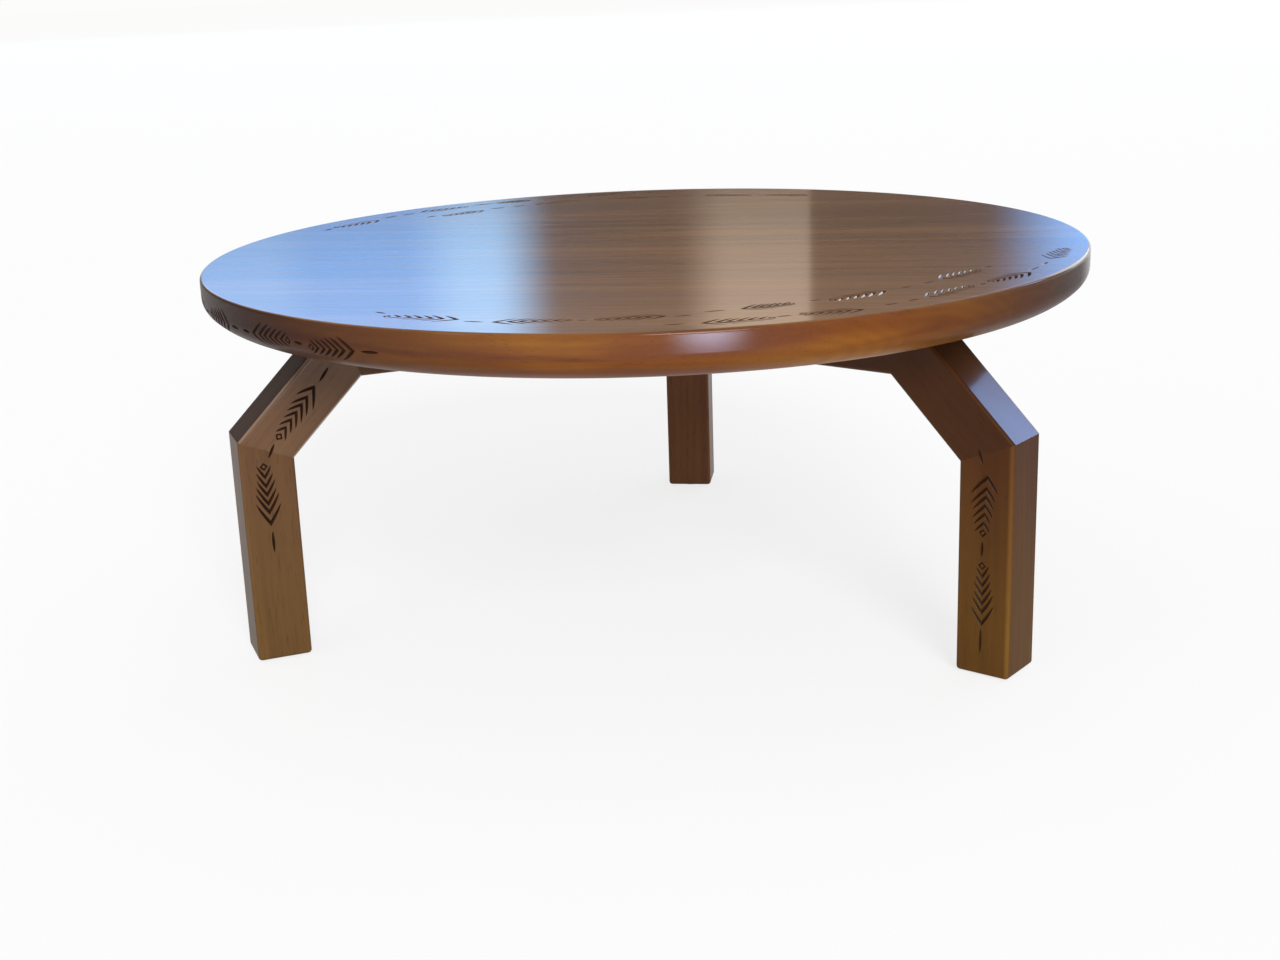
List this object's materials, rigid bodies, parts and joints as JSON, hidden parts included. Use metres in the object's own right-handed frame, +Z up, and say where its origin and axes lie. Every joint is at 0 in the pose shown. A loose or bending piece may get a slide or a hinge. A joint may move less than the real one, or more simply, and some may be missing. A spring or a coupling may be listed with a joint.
{
  "type": "round coffee table",
  "caption": "Low round coffee table: a thick glued-up wooden top with an undercut rim, on bent and mitred square legs whose rails meet in a hub under its centre.",
  "frame": {"origin": "on the floor, under the centre of the round top", "axes": "+Z up; the rear leg points along +Y, the other legs along the azimuths of 210 and 330 degrees; the boards of the top run along X"},
  "size_m": [1.08, 1.08, 0.454],
  "materials": {
    "top_wood": "gloss lacquer over a mid reddish-brown stain, grain along the boards",
    "leg_wood": "satin to gloss lacquer over a darker reddish-brown stain, grain along each member",
    "spline_wood": "bare hardwood",
    "fastener_steel": "bright zinc-plated",
    "felt": "dark brown pressed felt"
  },
  "bodies": {
    "root": {"hub_splines": "spline_wood", "knee_splines": "spline_wood", "left_foot_pad": "felt", "left_post": "leg_wood", "left_rail": "leg_wood", "left_strut": "leg_wood", "rear_foot_pad": "felt", "rear_post": "leg_wood", "rear_rail": "leg_wood", "rear_strut": "leg_wood", "right_foot_pad": "felt", "right_post": "leg_wood", "right_rail": "leg_wood", "right_strut": "leg_wood", "shoulder_splines": "spline_wood", "top_board_1": "top_wood", "top_board_10": "top_wood", "top_board_2": "top_wood", "top_board_3": "top_wood", "top_board_4": "top_wood", "top_board_5": "top_wood", "top_board_6": "top_wood", "top_board_7": "top_wood", "top_board_8": "top_wood", "top_board_9": "top_wood", "top_screws": "fastener_steel", "top_washers": "fastener_steel"}
  },
  "joints": []
}
